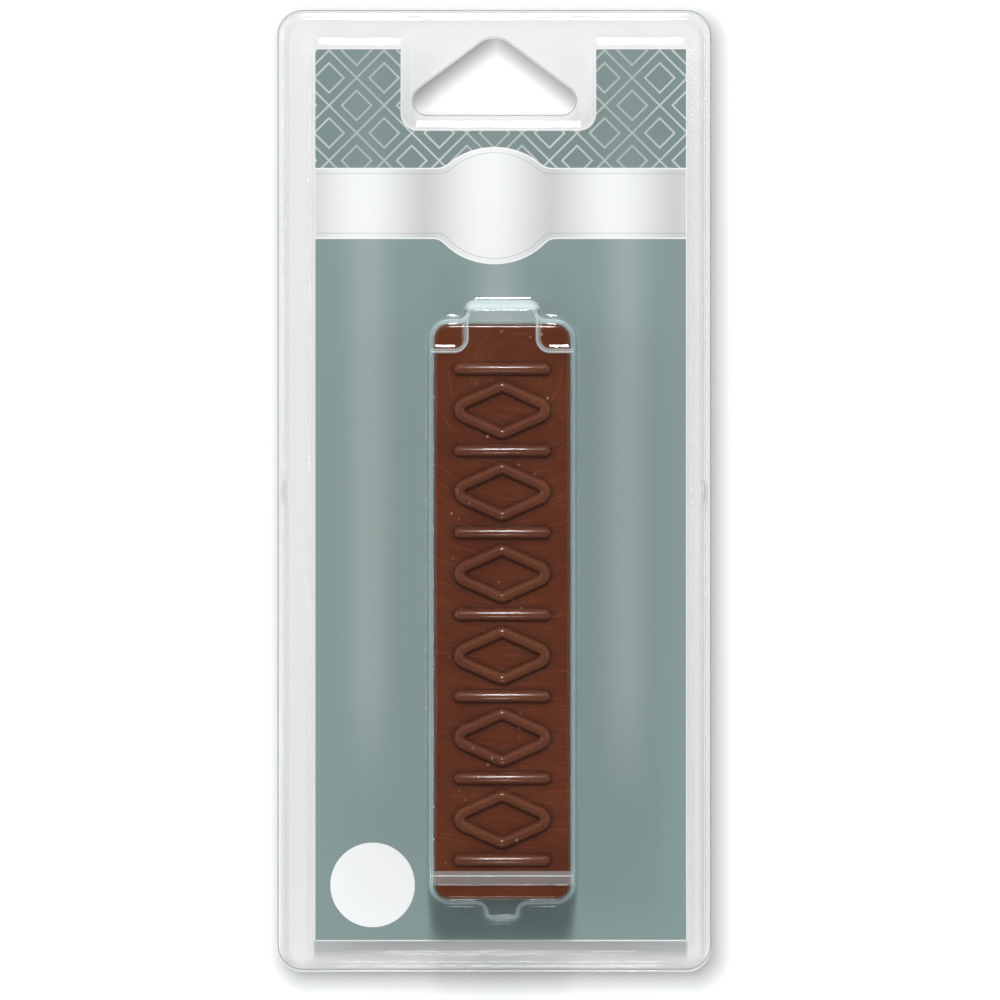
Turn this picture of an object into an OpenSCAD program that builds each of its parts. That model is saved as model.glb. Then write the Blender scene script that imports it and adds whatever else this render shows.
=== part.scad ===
// Moulded wax stick on a printed card, held in a clear hinged clamshell with a hang slot.
// The pack lies on its back: +Z faces the buyer, +Y points to the hang slot, millimetres.
// Each formed wall is a loft of one plan outline, made of arcs, through levels that give it draft,
// a round bend at its top and a round bend at its foot.

/* [Clear sheet] */
// Thickness of the sheet
sheet_t = 0.4; // [0.3:0.05:0.5]
// Slope of the formed walls from vertical, degrees
draft = 3; // [2:0.5:5]
// Outside radius of the bend at the top of a wall
bend_r = 0.9; // [0.7:0.1:1.2]
// Outside radius of the bend at the foot of a wall
foot_r = 0.6; // [0.4:0.1:0.8]
// Gap between the nested halves
nest_gap = 0.15; // [0.1:0.05:0.25]

/* [Pack edge] */
// Radius of the pack's cut corners
pack_corner_r = 5; // [4:0.5:8]
// Width of the flat lip round the edge
lip_w = 1.9; // [1.6:0.1:2.2]
// Height of the flange above the surface that the pack lies on
flange_z = 4; // [3.5:0.1:6]
// Pack edge to the card pocket, on the left
flange_left = 5.9; // [5:0.1:9]
// Pack edge to the card pocket, on the right
flange_right = 3.4; // [3.2:0.1:9]
// Pack edge to the card pocket, at the top
flange_top = 6; // [5:0.1:9]
// Pack edge to the card pocket, at the hinge
flange_bottom = 3.7; // [3.6:0.1:9]

/* [Card] */
// Width of the card
card_w = 74.5; // [68:0.5:90]
// Height of the card
card_h = 178.2; // [165:0.5:200]
// Thickness of the card
card_t = 0.45; // [0.3:0.05:0.8]
// Rise of the card's seat above the flange of the back half
seat_rise = 1.15; // [1:0.05:2]
// Room above the card, under the clear panel
card_headroom = 0.25; // [0.2:0.05:0.5]
// Room between the card's sides and the pocket's wall
card_side_room = 1.45; // [1.3:0.05:2]
// Room between the card's upper end and the pocket's wall
card_top_room = 1.8; // [1.5:0.1:4]
// Room between the card's lower end and the pocket's wall
card_low_room = 2.7; // [2:0.1:4]

/* [Hang slot] */
// Width of the slot
slot_w = 32.7; // [28:0.1:36]
// Height of the slot
slot_h = 15.5; // [14:0.1:18]
// Radius of the slot's peak
slot_peak_r = 4.8; // [3:0.1:6]
// Radius of the slot's two lower corners
slot_corner_r = 3; // [2:0.1:4]
// Pack's top edge to the slot
slot_drop = 5.6; // [5:0.1:7]
// Flat margin between the slot and the notch of the pocket
slot_margin = 1.45; // [1.2:0.05:2.5]
// Sideways shift of the notch from the slot
notch_shift = 0.8; // [0:0.1:1.2]
// Radius of the notch's inner corners at the flange
notch_r = 1.7; // [1:0.1:3]
// Radius of the pocket's outer corners at the flange
pocket_r = 2.2; // [1.8:0.1:4]

/* [Wax stick] */
// Width of the stick
stick_w = 27.3; // [22:0.1:32]
// Length of the stick
stick_l = 114.6; // [95:0.5:125]
// Thickness of the stick without its relief
stick_t = 16; // [10:0.5:22]
// Radius of the stick's corners
stick_corner_r = 3.2; // [2:0.1:5]
// Radius round the moulded face
stick_edge_r = 0.7; // [0.4:0.1:1.2]
// Slope of the stick's sides, degrees
stick_draft = 1; // [0.5:0.25:1.5]
// Sideways shift of the stick from the card's middle
stick_shift = 0.3; // [-2:0.1:2]
// Card's lower edge to the stick
stick_rise = 8.6; // [8:0.1:14]

/* [Relief on the stick] */
// Width of a raised stroke
stroke_w = 2.4; // [1.6:0.1:3]
// Width of the ornament over its strokes
relief_w = 19.3; // [15:0.1:21]
// Stick's upper end to the ornament
relief_top = 8; // [7.5:0.1:12]
// Stick's lower end to the ornament
relief_bottom = 6.8; // [6.5:0.1:12]
// Lozenges in the row
lozenges = 6; // [4:1:8]
// Gap between a lozenge and the bars beside it
lozenge_gap = 1.1; // [0.8:0.1:2]

/* [Blister] */
// Gap between the stick and the blister
stick_gap = 0.15; // [0.1:0.05:0.3]
// Gap between the relief and the raised part of the blister
relief_gap = 0.25; // [0.2:0.05:0.5]
// Length of the two low corners at the upper end
step_top = 5.9; // [4.5:0.1:7]
// Length of the low step at the lower end
step_bottom = 5.2; // [4:0.1:6]
// Radius of the low corners in plan
step_r = 2.6; // [2:0.1:4]
// Radius of the raised part's corners at the foot of the blister
raised_r = 2; // [1.9:0.1:3]
// Reach of the two end tabs past the blister's wall
tab_reach = 3.45; // [2.5:0.05:4.5]
// Width of the upper tab at its foot
tab_w = 15.2; // [12:0.1:17]
// Width of the lower tab at its foot
tail_w = 8; // [7:0.1:12]
// Radius of the flare where a tab joins the blister, at its foot
tab_flare = 1.2; // [0.5:0.1:2]
// Radius of a tab's corners at its foot
tab_r = 2.2; // [2:0.1:3]

/* [Label] */
// Diameter of the label
label_d = 16.9; // [12:0.1:20]
// Thickness of the label
label_t = 0.1; // [0.05:0.01:0.15]
// Card's left edge to the label's middle
label_in = 11.7; // [11:0.1:14]
// Card's lower edge to the label's middle
label_up = 11.2; // [11:0.1:30]

/* [Snaps and hinge] */
// Length of a snap between its round ends
snap_l = 4.4; // [3:0.1:8]
// Radius of a snap on the outside
snap_r = 1.35; // [1.3:0.05:1.6]
// How far a snap stands out of the wall
snap_reach = 0.5; // [0.3:0.05:0.6]
// Distance between the two snaps at the top
snap_spread = 33.6; // [20:0.1:50]
// Length of the hinge fold
hinge_l = 66; // [40:1:70]
// Gap between the lips' ends and the hinge fold
hinge_gap = 0.05; // [0.02:0.01:0.1]

/* [Hidden] */

// Largest turn between two points of an arc, degrees
arc_step = 18;
// Levels in the bend at a wall's top, in the bend at its foot and in a half-round stroke
bend_steps = 3;
foot_steps = 2;
stroke_steps = 6;
// Smallest bend that the inside of a wall keeps
least_bend = 0.2;
// How far a form is sunk into the one that carries it
sink = 0.3;
// Hair by which the raised part of the blister stands inside the wall that carries it
hair = 0.02;
// Length by which a cut runs past what it cuts
over = 5;
// Inner radius of a lozenge's corners
lozenge_inner_r = 0.3;
// Half the width of the flat that is left along the crown of a cross bar
crown_flat = 0.12;
// Facets round the slot's and the card's corners, a snap, the hinge fold and the label
corner_facets = 48;
snap_facets = 18;
fold_facets = 32;
label_facets = 64;

clear_front = [0.86, 0.93, 0.94, 0.35];
clear_back = [0.82, 0.90, 0.91, 0.45];
teal = [0.51, 0.59, 0.58];
paper_white = [0.97, 0.97, 0.96];
wax_brown = [0.34, 0.19, 0.14];

// Plan sizes, worked out from the card outwards
pocket_w = card_w + 2 * card_side_room;
pocket_h = card_h + card_top_room + card_low_room;
pack_w = pocket_w + flange_left + flange_right;
pack_h = pocket_h + flange_top + flange_bottom;
card_x = (flange_left - flange_right) / 2;
card_y = -pack_h / 2 + flange_bottom + card_low_room + card_h / 2;
stick_x = card_x + stick_shift;
stick_y = card_y - card_h / 2 + stick_rise + stick_l / 2;
slot_y = pack_h / 2 - slot_drop - slot_h;
notch_w = slot_w + 2 * slot_margin;
notch_y = slot_y - slot_margin;

// Heights, from the surface that the pack lies on
nest = sheet_t + nest_gap;
front_lip_z = nest + sheet_t;
card_z = flange_z - nest + seat_rise;
card_face_z = card_z + card_t;
panel_z = card_face_z + card_headroom + sheet_t;
stick_face_z = card_face_z + stick_t;
step_z = stick_face_z + stick_gap + sheet_t;
top_z = stick_face_z + stroke_w / 2 + relief_gap + sheet_t;

// The hinge fold wraps the ends of both lips, and its axis lies midway between them
hinge_r = front_lip_z / 2;
hinge_y = -pack_h / 2 + hinge_r;
lip_end_y = hinge_y + hinge_gap;

// The blister clears the stick's full outline at the height of its moulded face
blister_grow = stick_gap + sheet_t / cos(draft) + (stick_face_z - panel_z) * tan(draft);
blister_x = stick_w / 2 + blister_grow;
blister_top_y = stick_y + stick_l / 2 + blister_grow;
blister_low_y = stick_y - stick_l / 2 - blister_grow;
blister_r = stick_corner_r + blister_grow;

// An arc of an outline is [middle, radius, first angle, last angle], with the angles those of the
// outward normal. An outline runs anticlockwise, and a hollow arc has a negative radius.
function rect_arcs(x0, x1, y0, y1, r) = [
    [[x1 - r, y0 + r], r, -90, 0],
    [[x1 - r, y1 - r], r, 0, 90],
    [[x0 + r, y1 - r], r, 90, 180],
    [[x0 + r, y0 + r], r, 180, 270]];

// Points of an outline moved inwards by d, at height z
function ring(arcs, d, z) = [for (k = arcs)
    let (n = ceil(abs(k[3] - k[2]) / arc_step))
    for (i = [0 : n])
        let (a = k[2] + (k[3] - k[2]) * i / n)
        [k[0][0] + (k[1] - d) * cos(a), k[0][1] + (k[1] - d) * sin(a), z]];

// Levels of a formed wall from the flat at z0 to its top at z1, with all of it moved inwards by g.
// Each level is [inset, height]. The first lies below the flat, in line with the bend.
function wall_levels(z0, z1, g) =
    let (edge = max(bend_r - g, least_bend),
         foot = min(foot_r + g, z1 - z0 - edge),
         low = foot_bend(z0, z0 - g, g / cos(draft), foot))
    concat([low[0] + (low[0] - low[1]) / 2], [for (i = [1 : foot_steps]) low[i]],
           top_bend(z0, z1 - g, g / cos(draft), edge, draft));

// Hollow bend of radius f from the flat at floor_z to a wall with inset w at z0
function foot_bend(z0, floor_z, w, f) =
    let (mid_d = w + (floor_z + f - z0) * tan(draft) - f / cos(draft))
    [for (i = [0 : foot_steps])
        let (a = 270 - (90 - draft) * i / foot_steps)
        [mid_d - f * cos(a), floor_z + f + f * sin(a)]];

// Round bend of radius e at height z on a wall with inset w at z0
function top_bend(z0, z, w, e, slope) =
    let (mid_d = w + (z - e - z0) * tan(slope) + e / cos(slope))
    [for (i = [0 : bend_steps])
        let (a = slope + (90 - slope) * i / bend_steps)
        [mid_d - e * cos(a), z - e + e * sin(a)]];

// Solid through the levels of one outline. A closed one joins its last level to its first, as a ring does.
module loft(arcs, levels, closed = false) {
    n = len(ring(arcs, 0, 0));
    m = len(levels);
    points = [for (l = levels) each ring(arcs, l[0], l[1])];
    sides = [for (j = [0 : m - (closed ? 1 : 2)], i = [0 : n - 1])
        let (a = j * n, b = ((j + 1) % m) * n, k = (i + 1) % n)
        [a + i, b + i, b + k, a + k]];
    caps = closed ? [] : [[for (i = [0 : n - 1]) i], [for (i = [n - 1 : -1 : 0]) (m - 1) * n + i]];
    polyhedron(points, concat(sides, caps));
}

// Flat lip of one half
module lip(z) {
    arcs = rect_arcs(-pack_w / 2, pack_w / 2, lip_end_y, pack_h / 2, pack_corner_r);
    loft(arcs, [[0, z], [0, z + sheet_t]]);
}

// Hang slot, cut through both halves
module slot() {
    translate([0, slot_y, -over])
        hull() {
            translate([0, slot_h - slot_peak_r, 0])
                cylinder(r = slot_peak_r, h = flange_z + 2 * over, $fn = corner_facets);
            for (side = [-1, 1])
                translate([side * (slot_w / 2 - slot_corner_r), slot_corner_r, 0])
                    cylinder(r = slot_corner_r, h = flange_z + 2 * over, $fn = corner_facets);
        }
}

// One snap: a bar with round ends along a wall
module snap(g) {
    hull()
        for (end = [-1, 1])
            translate([end * snap_l / 2, 0, 0])
                sphere(r = snap_r - g, $fn = snap_facets);
}

// The four snaps, two in the top wall and one in each side wall
module snaps(g) {
    snap_z = (front_lip_z + flange_z) / 2;
    depth = lip_w + (snap_z - front_lip_z) * tan(draft) - snap_reach + snap_r;
    for (side = [-1, 1]) {
        translate([card_x + side * snap_spread / 2, pack_h / 2 - depth, snap_z])
            snap(g);
        translate([side * (pack_w / 2 - depth), 0, snap_z])
            rotate(90)
                snap(g);
    }
}

// Outline of the card pocket, with the notch round the hang slot
pocket_x0 = card_x - pocket_w / 2;
pocket_x1 = card_x + pocket_w / 2;
pocket_y0 = card_y - card_h / 2 - card_low_room;
pocket_y1 = card_y + card_h / 2 + card_top_room;
notch_x0 = notch_shift - notch_w / 2;
notch_x1 = notch_shift + notch_w / 2;
pocket_arcs = [
    [[pocket_x1 - pocket_r, pocket_y0 + pocket_r], pocket_r, -90, 0],
    [[pocket_x1 - pocket_r, pocket_y1 - pocket_r], pocket_r, 0, 90],
    [[notch_x1 + pocket_r, pocket_y1 - pocket_r], pocket_r, 90, 180],
    [[notch_x1 - notch_r, notch_y + notch_r], -notch_r, 180, 90],
    [[notch_x0 + notch_r, notch_y + notch_r], -notch_r, 90, 0],
    [[notch_x0 - pocket_r, pocket_y1 - pocket_r], pocket_r, 0, 90],
    [[pocket_x0 + pocket_r, pocket_y1 - pocket_r], pocket_r, 90, 180],
    [[pocket_x0 + pocket_r, pocket_y0 + pocket_r], pocket_r, 180, 270]];

// Flange and card pocket, which both halves share: the pocket rises to pocket_z
module tray(pocket_z, g) {
    flange_arcs = rect_arcs(-pack_w / 2 + lip_w, pack_w / 2 - lip_w,
                            -pack_h / 2 + lip_w, pack_h / 2 - lip_w, pack_corner_r - lip_w);
    loft(flange_arcs, wall_levels(front_lip_z, flange_z, g));
    snaps(g);
    loft(pocket_arcs, wall_levels(flange_z, pocket_z, g));
}

// Round corners of the upper tab, which the blister and its raised part share
tab_end_y = blister_top_y + tab_reach;
tab_arcs = [
    [[tab_w / 2 - tab_r, tab_end_y - tab_r], tab_r, 0, 90],
    [[tab_r - tab_w / 2, tab_end_y - tab_r], tab_r, 90, 180]];
tail_end_y = blister_low_y - tab_reach;

// Outline of the blister with both tabs, about the middle line of the stick
blister_arcs = concat([
    [[blister_x - blister_r, blister_low_y + blister_r], blister_r, -90, 0],
    [[blister_x - blister_r, blister_top_y - blister_r], blister_r, 0, 90],
    [[tab_w / 2 + tab_flare, blister_top_y + tab_flare], -tab_flare, 90, 0]],
    tab_arcs, [
    [[-tab_w / 2 - tab_flare, blister_top_y + tab_flare], -tab_flare, 180, 90],
    [[blister_r - blister_x, blister_top_y - blister_r], blister_r, 90, 180],
    [[blister_r - blister_x, blister_low_y + blister_r], blister_r, 180, 270],
    [[-tail_w / 2 - tab_flare, blister_low_y - tab_flare], -tab_flare, 270, 180],
    [[tab_r - tail_w / 2, tail_end_y + tab_r], tab_r, 180, 270],
    [[tail_w / 2 - tab_r, tail_end_y + tab_r], tab_r, 270, 360],
    [[tail_w / 2 + tab_flare, blister_low_y - tab_flare], -tab_flare, 360, 270]]);

// Outline of its raised part: full width over the relief, then a channel that runs out to the upper tab.
// The draft brings its ends to the steps' lengths where they meet the low parts.
step_inset = (step_z - panel_z) * tan(draft);
raised_top_y = stick_y + stick_l / 2 - step_top + step_inset;
raised_low_y = stick_y - stick_l / 2 + step_bottom - step_inset;
channel_r = step_r - step_inset;
raised_arcs = concat([
    [[blister_x - raised_r, raised_low_y + raised_r], raised_r, -90, 0],
    [[blister_x - raised_r, raised_top_y - raised_r], raised_r, 0, 90],
    [[tab_w / 2 + channel_r, raised_top_y + channel_r], -channel_r, 90, 0]],
    tab_arcs, [
    [[-tab_w / 2 - channel_r, raised_top_y + channel_r], -channel_r, 180, 90],
    [[raised_r - blister_x, raised_top_y - raised_r], raised_r, 90, 180],
    [[raised_r - blister_x, raised_low_y + raised_r], raised_r, 180, 270]]);

// Blister over the stick: full height over the relief, lower on its upper corners and its lower end
module blister(g) {
    edge = max(bend_r - g, least_bend);
    raised_foot = [g / cos(draft) + sink * tan(draft) + hair, panel_z + sink];
    translate([stick_x, 0, 0]) {
        loft(blister_arcs, wall_levels(panel_z, step_z, g));
        loft(raised_arcs, concat([raised_foot],
                                 top_bend(panel_z, top_z - g, g / cos(draft) + hair, edge, draft)));
    }
}

// Clear back half, nested inside the front half, with the raised seat for the card
module back_shell() {
    color(clear_back)
        difference() {
            union() {
                lip(0);
                tray(card_z + nest, nest);
            }
            tray(card_z + nest, nest + sheet_t);
            slot();
        }
}

// Clear front half with the pocket for the card and the blister for the stick
module front_shell() {
    color(clear_front)
        difference() {
            union() {
                lip(nest);
                tray(panel_z, 0);
                blister(0);
            }
            tray(panel_z, sheet_t);
            blister(sheet_t);
            slot();
        }
}

// Fold in the sheet that hinges the halves, a half-round bead on the hinge axis
module hinge_fold() {
    color(clear_back)
        translate([0, hinge_y, hinge_r])
            difference() {
                rotate([0, 90, 0])
                    cylinder(r = hinge_r, h = hinge_l, center = true, $fn = fold_facets);
                translate([-hinge_l, 0, -hinge_r - over])
                    cube([2 * hinge_l, over, 2 * over + 2 * hinge_r]);
            }
}

// Printed card with the notch that clears the hang slot
module card_insert() {
    gap = card_side_room;
    r = notch_r + gap;
    color(teal)
        translate([0, 0, card_z])
            linear_extrude(card_t)
                difference() {
                    translate([card_x - card_w / 2, card_y - card_h / 2])
                        square([card_w, card_h]);
                    translate([notch_x0 - gap, notch_y - gap + r])
                        square([notch_w + 2 * gap, pack_h]);
                    translate([notch_x0 - gap + r, notch_y - gap])
                        square([notch_w + 2 * gap - 2 * r, pack_h]);
                    for (x = [notch_x0 - gap + r, notch_x1 + gap - r])
                        translate([x, notch_y - gap + r])
                            circle(r = r, $fn = corner_facets);
                }
}

// Round paper label on the card
module shade_label() {
    color(paper_white)
        translate([card_x - card_w / 2 + label_in, card_y - card_h / 2 + label_up, card_face_z])
            cylinder(d = label_d, h = label_t, $fn = label_facets);
}

// Levels across one side of a half-round stroke, from its foot to its crown
function stroke_side(steps) = [for (i = [1 : steps])
    let (a = 180 * i / stroke_steps)
    [stroke_w / 2 * (1 - cos(a)), stroke_w / 2 * sin(a)]];

// Cross bar of the relief
module relief_bar() {
    end_x = (relief_w - stroke_w) / 2;
    crown = [stroke_w / 2 - crown_flat, stroke_w / 2];
    arcs = [[[end_x, 0], stroke_w / 2, -90, 90], [[-end_x, 0], stroke_w / 2, 90, 270]];
    loft(arcs, concat([[0, -sink]], stroke_side(stroke_steps / 2 - 1), [crown]));
}

// Lozenge of the relief: one half-round stroke round a rhombus with round corners
module relief_lozenge(half_l) {
    corner_r = stroke_w + lozenge_inner_r;
    x = relief_w / 2 - corner_r;
    y = half_l - corner_r;
    side = atan2(x, y);
    arcs = [
        [[x, 0], corner_r, -side, side],
        [[0, y], corner_r, side, 180 - side],
        [[-x, 0], corner_r, 180 - side, 180 + side],
        [[0, -y], corner_r, 180 + side, 360 - side]];
    loft(arcs, concat([[0, -sink]], stroke_side(stroke_steps - 1), [[stroke_w, -sink]]), true);
}

// Row of lozenges between cross bars, laid along Y from 0 to length l
module ornament(l) {
    pitch = (l - stroke_w) / lozenges;
    for (i = [0 : lozenges])
        translate([0, stroke_w / 2 + i * pitch, 0])
            relief_bar();
    for (i = [0 : lozenges - 1])
        translate([0, stroke_w / 2 + (i + 0.5) * pitch, 0])
            relief_lozenge((pitch - stroke_w) / 2 - lozenge_gap);
}

// Poured wax bar with a drafted body and the relief on its moulded face
module wax_stick() {
    arcs = rect_arcs(-stick_w / 2, stick_w / 2, -stick_l / 2, stick_l / 2, stick_corner_r);
    sides = top_bend(card_face_z, stick_face_z, 0, stick_edge_r, stick_draft);
    color(wax_brown)
        translate([stick_x, stick_y, 0]) {
            loft(arcs, concat([[0, card_face_z]], sides));
            translate([0, relief_bottom - stick_l / 2, stick_face_z])
                ornament(stick_l - relief_top - relief_bottom);
        }
}

back_shell();
front_shell();
hinge_fold();
card_insert();
shade_label();
wax_stick();
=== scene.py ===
# %% [markdown]
# # A wax stick in a clear hang pack
# The object is a poured bar of brown wax for filling scratches in furniture. It lies on a printed card
# between two halves of thin clear plastic, which are formed from one sheet and folded shut along the lower
# edge. The main sizes come from the packed model, so the lesson starts by loading it and noting the box that
# it fills.

# %% Load the packed model
import math

import bmesh
import bpy
from mathutils import Matrix, Vector


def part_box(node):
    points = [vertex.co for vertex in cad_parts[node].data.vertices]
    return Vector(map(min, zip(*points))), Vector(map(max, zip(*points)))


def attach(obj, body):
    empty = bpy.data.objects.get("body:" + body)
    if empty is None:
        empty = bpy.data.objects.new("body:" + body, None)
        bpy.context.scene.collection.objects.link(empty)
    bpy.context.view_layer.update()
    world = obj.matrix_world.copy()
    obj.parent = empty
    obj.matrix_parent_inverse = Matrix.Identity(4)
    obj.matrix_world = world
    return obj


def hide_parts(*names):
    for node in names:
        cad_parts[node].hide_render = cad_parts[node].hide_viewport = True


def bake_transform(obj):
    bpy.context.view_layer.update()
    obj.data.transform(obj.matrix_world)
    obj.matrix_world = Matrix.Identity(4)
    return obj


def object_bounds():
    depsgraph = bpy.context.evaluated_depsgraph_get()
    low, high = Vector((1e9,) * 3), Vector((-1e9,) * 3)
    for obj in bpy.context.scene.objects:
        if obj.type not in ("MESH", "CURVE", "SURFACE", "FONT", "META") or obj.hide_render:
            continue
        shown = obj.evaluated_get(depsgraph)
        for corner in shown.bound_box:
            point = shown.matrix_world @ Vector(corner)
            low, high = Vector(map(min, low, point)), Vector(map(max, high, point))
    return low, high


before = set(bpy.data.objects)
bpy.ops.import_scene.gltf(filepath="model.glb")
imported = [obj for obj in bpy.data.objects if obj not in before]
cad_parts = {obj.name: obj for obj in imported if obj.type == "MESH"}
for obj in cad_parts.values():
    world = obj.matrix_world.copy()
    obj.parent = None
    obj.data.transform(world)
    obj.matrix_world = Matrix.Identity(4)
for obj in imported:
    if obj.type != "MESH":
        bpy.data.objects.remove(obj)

cad_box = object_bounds()
mm = 0.001
print("packed box in mm:", [[round(c / mm, 2) for c in corner] for corner in cad_box])

# %% [markdown]
# ## Sizes
# The pack is a stack of thin layers, so heights matter more than anything else here. The boxes of the packed
# nodes give most of them. The rest are what a vacuum former sets: the sheet's thickness, the draft that lets
# a formed wall leave its mould, and the room between the layers. The bench works in millimetres, because the
# mesh operators are surer on numbers near one, and a finished piece is scaled to metres at the end.

# %% Boxes of the packed nodes
def box_of(node):
    low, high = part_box(node)
    return low / mm, high / mm


pack_low, pack_high = (Vector(corner) / mm for corner in cad_box)
front_low, front_high = box_of("front_shell")
back_low = box_of("back_shell")[0]
card_low, card_high = box_of("card_insert")
stick_low, stick_high = box_of("wax_stick")
label_low, label_high = box_of("shade_label")
fold_low, fold_high = box_of("hinge_fold")
stick_x = (stick_low.x + stick_high.x) / 2
print("stick in mm:", [round(c, 2) for c in stick_high - stick_low])

# %% Heights of the layers
sheet_t, draft = 0.4, 3
card_room, stick_room = 0.25, 0.15
stroke_r = 1.2
front_lip_z = front_low.z + sheet_t
back_lip_z = back_low.z + sheet_t
nest = front_lip_z - back_lip_z
flange_z = 4.0
panel_z = card_high.z + card_room + sheet_t
face_z = stick_high.z - stroke_r
step_z = face_z + stick_room + sheet_t
top_z = front_high.z
print("layers in mm:", [round(z, 2) for z in (back_lip_z, front_lip_z, flange_z, panel_z, step_z, top_z)])

# %% [markdown]
# ## Outlines
# A formed pack is drawn in plan first: a square-cornered outline whose corners are then rounded. A curve
# object could hold it, but a face with its corners bevelled is quicker, because the same face can then be
# inset upwards. A corner here is x, y and the radius that it gets.

# %% Helpers for outlines
def rectangle(low, high, radius):
    places = [(low.x, low.y), (high.x, low.y), (high.x, high.y), (low.x, high.y)]
    return [(x, y, radius) for x, y in places]


def grown(outline, by):
    """The same outline moved outwards: its outer corners widen and its hollow corners tighten."""
    moved = []
    for i, (x, y, radius) in enumerate(outline):
        before, after = outline[i - 1], outline[(i + 1) % len(outline)]
        coming = Vector((x - before[0], y - before[1])).normalized()
        going = Vector((after[0] - x, after[1] - y)).normalized()
        turn = coming.x * going.y - coming.y * going.x
        rounding = radius + by if turn > 0 else radius - by
        moved.append((x + (coming.y + going.y) * by, y - (coming.x + going.x) * by, rounding))
    return moved


def cut_plate(bm, outline, z):
    """One flat face with that outline. Corners of one radius are bevelled together."""
    others = set(bm.faces)
    corners = [(bm.verts.new((x, y, z)), radius) for x, y, radius in outline]
    bm.faces.new([v for v, radius in corners])
    for radius in {r for v, r in corners}:
        alike = [v for v, r in corners if r == radius]
        bmesh.ops.bevel(bm, geom=alike, offset=radius, offset_type="OFFSET", segments=round(4 + radius),
                        profile=0.5, affect="VERTICES", material=-1)
    return next(f for f in bm.faces if f not in others)


print("the pack's plan has", len(rectangle(pack_low, pack_high, 0)), "corners")

# %% [markdown]
# ## Walls
# A formed wall rises out of a flat in a hollow bend, climbs with a little draft and turns over a round bend
# into the next flat. Extruding and bevelling would need care at every corner. Insetting the plate again and
# again is surer: each small inset goes a step inwards and a step up, and so walks the wall's profile round
# the outline.

# %% Helpers for the profile of a wall
margin = 0.12
wall_slope = 90 - draft


def bend(radius, start, end, steps=6):
    """Small steps (inwards, up) along a round bend between two slopes, in degrees from flat."""
    turn = math.radians(end - start) / steps
    chord = 2 * radius * math.sin(abs(turn) / 2)
    slopes = [math.radians(start) + turn * (i + 0.5) for i in range(steps)]
    return [(chord * math.cos(s), chord * math.sin(s)) for s in slopes]


def wall(rise, foot_r, bend_r, parts=1):
    """A whole wall: a flat margin, a hollow bend, the drafted wall, a round bend and a flat margin."""
    bends = (foot_r + bend_r) * (1 - math.cos(math.radians(wall_slope)))
    height = (rise - bends) / parts
    climb = [(height * math.tan(math.radians(draft)), height)] * parts
    return [(margin, 0), *bend(foot_r, 0, wall_slope), *climb, *bend(bend_r, wall_slope, 0), (margin, 0)]


def foot_reach(foot_r):
    """How far a wall's foot starts outside the corner where flat and wall would meet."""
    return margin + foot_r * math.tan(math.radians(wall_slope) / 2)


print("a wall in one part takes", len(wall(1, 0.1, 0.1)), "steps")

# %% Helpers that raise a wall and close a flat
same_height = 1e-4


def walk(bm, face, steps):
    for inwards, up in steps:
        bmesh.ops.inset_region(bm, faces=[face], thickness=inwards, depth=up, use_boundary=True,
                               use_even_offset=True)


def fill_flat(bm, z, leave=()):
    """Closes the flat between the loops that lie open at one height, and returns its area."""
    open_edges = [e for e in bm.edges if e.is_boundary and e not in leave]
    rim = [e for e in open_edges if all(abs(v.co.z - z) < same_height for v in e.verts)]
    made = bmesh.ops.triangle_fill(bm, edges=rim, use_beauty=True, normal=(0, 0, 1))["geom"]
    return sum(g.calc_area() for g in made if isinstance(g, bmesh.types.BMFace))


print("edges within", same_height, "mm of a height count as lying at it")

# %% [markdown]
# ## Hang slot
# The slot is a rounded triangle that a shop hook passes through, punched through both halves at once. Its
# three corners have two different radii, and a bevel only gives true arcs on square corners. So each corner
# is a single vertex that is spun about the middle of its arc, and the three arcs are joined by straight
# edges.

# %% Helpers for plates between arcs
def spun_arc(bm, middle, radius, start, stop, steps):
    first = bm.verts.new(middle + radius * Vector((math.cos(start), math.sin(start), 0)))
    arc = bmesh.ops.spin(bm, geom=[first], cent=middle, axis=(0, 0, 1), angle=stop - start, steps=steps)
    return first, arc["geom_last"][0]


def arc_plate(bm, arcs, steps):
    """A plate between arcs (middle, radius, start, stop), which follow each other against the clock."""
    others = set(bm.edges)
    ends = [spun_arc(bm, *arc, steps) for arc in arcs]
    for i, (first, last) in enumerate(ends):
        bm.edges.new((last, ends[(i + 1) % len(ends)][0]))
    plate = bmesh.ops.contextual_create(bm, geom=[e for e in bm.edges if e not in others])["faces"][0]
    plate.normal_update()
    if plate.normal.z < 0:
        bmesh.ops.reverse_faces(bm, faces=[plate])
    return plate


print("arc helpers ready")

# %% Helper for the slot
slot_low, slot_high, slot_half = 75.1, 90.6, 16.35
peak_r, corner_r = 4.8, 3.0
slot_peak = Vector((0, slot_high - peak_r, 0))
slot_right = Vector((slot_half - corner_r, slot_low + corner_r, 0))
slot_left = Vector((-slot_right.x, slot_right.y, 0))
side_run = slot_right - slot_peak
slot_lean = math.atan2(side_run.y, side_run.x) + math.acos((peak_r - corner_r) / side_run.length)


def slot_plate(bm, z, wider):
    """What the punch takes out at one height, widened all round by a little."""
    at = Vector((0, 0, z))
    return arc_plate(bm, [
        (slot_right + at, corner_r + wider, -math.pi / 2, slot_lean),
        (slot_peak + at, peak_r + wider, slot_lean, math.pi - slot_lean),
        (slot_left + at, corner_r + wider, math.pi - slot_lean, 1.5 * math.pi),
    ], 16)


print("slot of", round(2 * slot_half, 1), "by", round(slot_high - slot_low, 1), "mm")

# %% [markdown]
# ## Snaps
# Two snaps in the top wall and one in each side wall hold the halves together: the wall bulges a little over
# a few millimetres. Separate buttons would show a seam, so the wall is cut into narrow strips there with
# bisect and the new vertices are pushed outwards, most in the middle of the bulge.

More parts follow.
